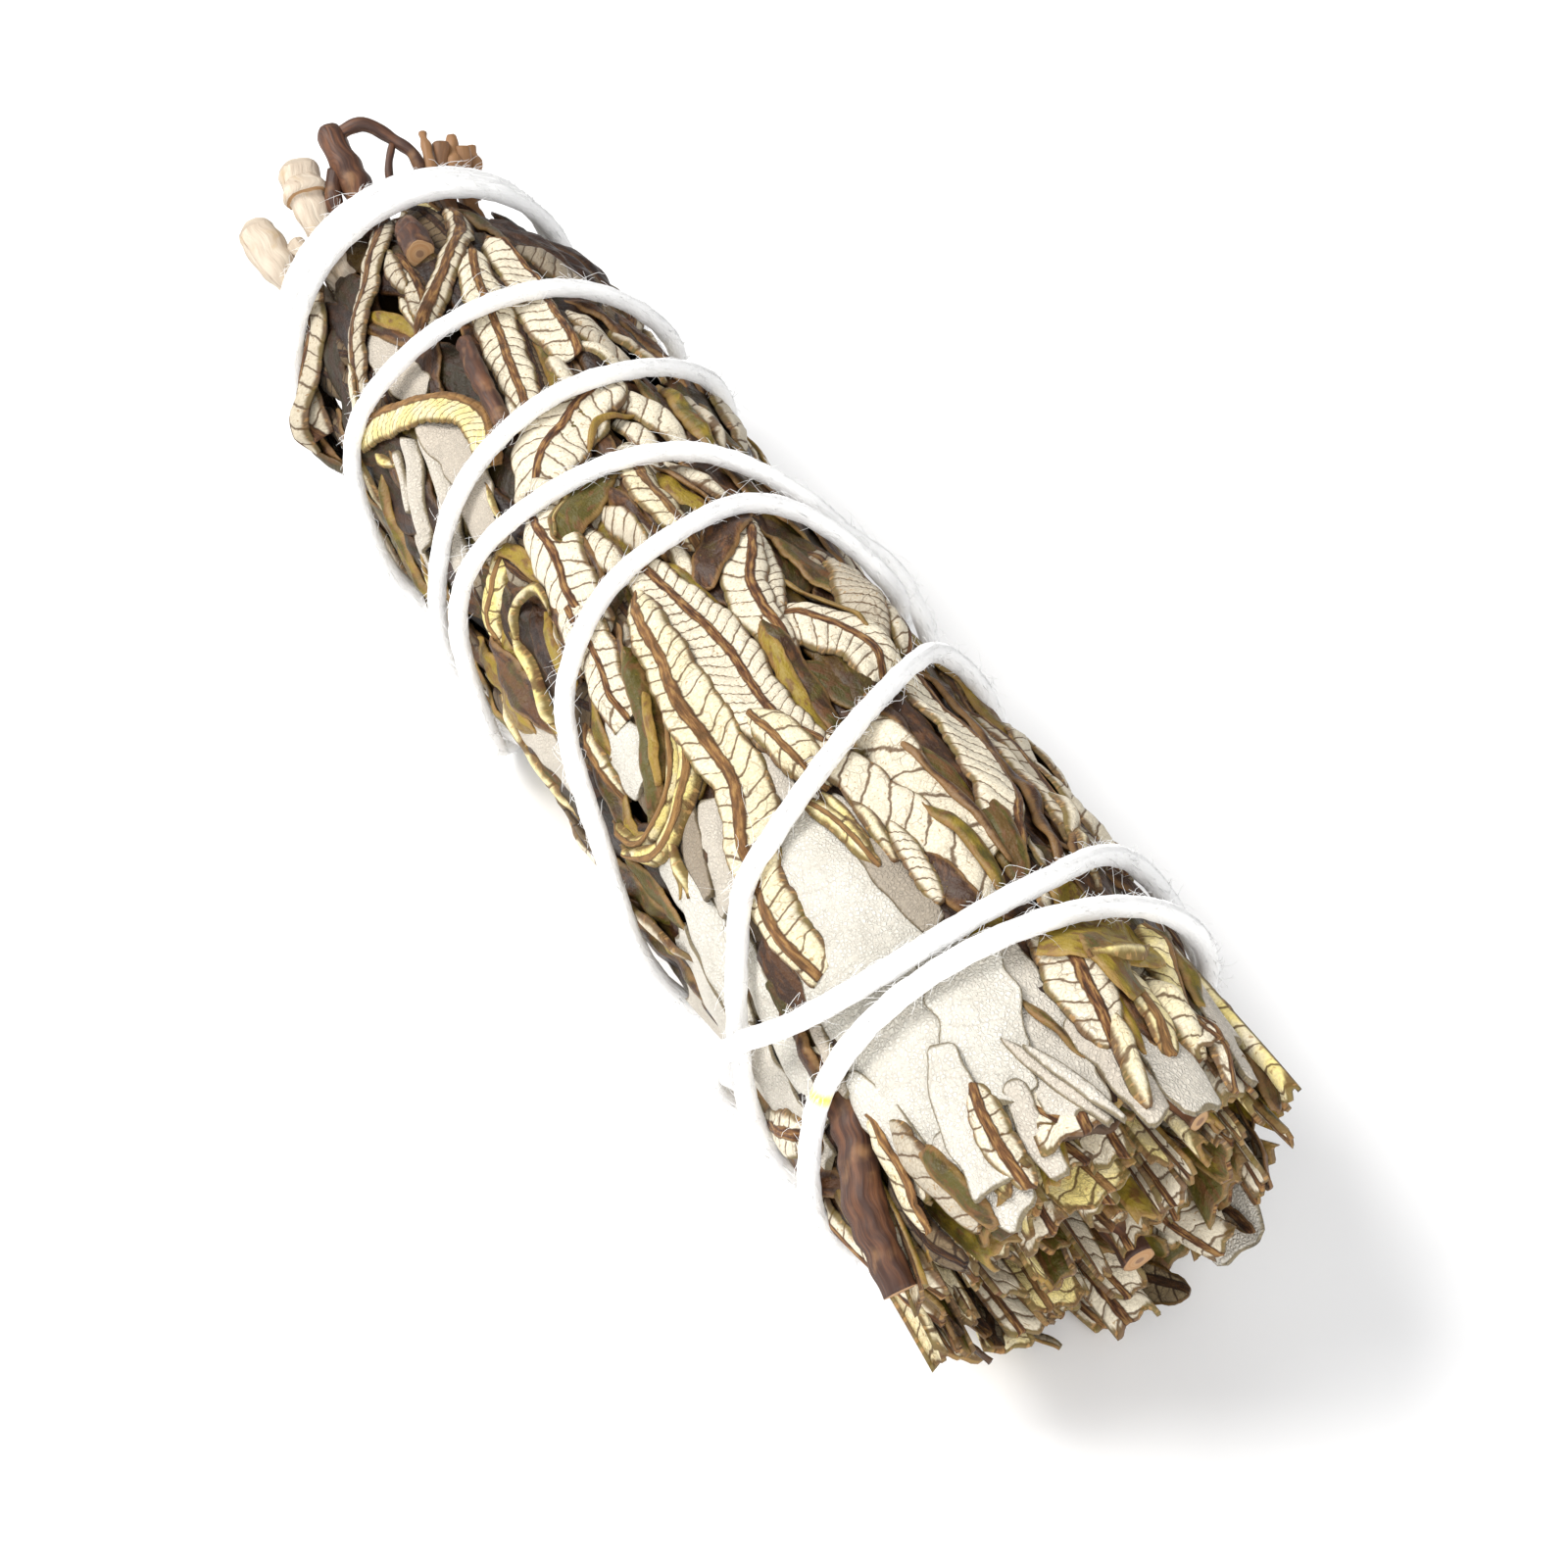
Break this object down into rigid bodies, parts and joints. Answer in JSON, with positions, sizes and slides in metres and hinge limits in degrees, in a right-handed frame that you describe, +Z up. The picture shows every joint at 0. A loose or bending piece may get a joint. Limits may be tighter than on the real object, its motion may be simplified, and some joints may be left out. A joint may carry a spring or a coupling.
{
  "type": "sage smudge stick",
  "caption": "Dried herb smudge stick of yerba santa and white sage leaves round woody stems, wound with white cotton string.",
  "frame": {"origin": "on the surface that the stick lies on, under the middle of its bounding box", "axes": "+X along the bundle from the string-wrapped butt with its woody stems to the cut leafy end, +Z up, +Y to the far side of a viewer who has the butt on the left"},
  "size_m": [0.13, 0.038, 0.0325],
  "materials": {
    "yerba_leaf": "satin",
    "sage_leaf": "matte",
    "stem_wood": "matte",
    "cotton": "matte"
  },
  "bodies": {
    "root": {"yerba_santa_foliage": "yerba_leaf", "white_sage_leaf_butt": "sage_leaf", "white_sage_leaf_roll_near": "sage_leaf", "white_sage_leaf_roll_middle": "sage_leaf", "white_sage_leaf_roll_wide": "sage_leaf", "white_sage_leaf_scrap": "sage_leaf", "white_sage_leaf_edge": "sage_leaf", "white_sage_leaf_left": "sage_leaf", "white_sage_leaf_dark": "sage_leaf", "white_sage_leaf_short": "sage_leaf", "white_sage_leaf_broad": "sage_leaf", "white_sage_leaf_end": "sage_leaf", "white_sage_leaf_tip": "sage_leaf", "white_sage_leaf_layer": "sage_leaf", "white_sage_leaf_far": "sage_leaf", "white_sage_leaf_under_1": "sage_leaf", "white_sage_leaf_under_2": "sage_leaf", "white_sage_leaf_back_1": "sage_leaf", "white_sage_leaf_back_2": "sage_leaf", "white_sage_leaf_back_3": "sage_leaf", "white_sage_leaf_back_4": "sage_leaf", "woody_stem_knob": "stem_wood", "woody_stem_stub": "stem_wood", "woody_stem_under_string": "stem_wood", "woody_stem_cut_end": "stem_wood", "woody_stem_middle": "stem_wood", "woody_stem_low": "stem_wood", "sage_stalk_near": "stem_wood", "sage_stalk_middle": "stem_wood", "leaf_stalk_far_1": "stem_wood", "leaf_stalk_far_2": "stem_wood", "cotton_string": "cotton"}
  },
  "joints": []
}
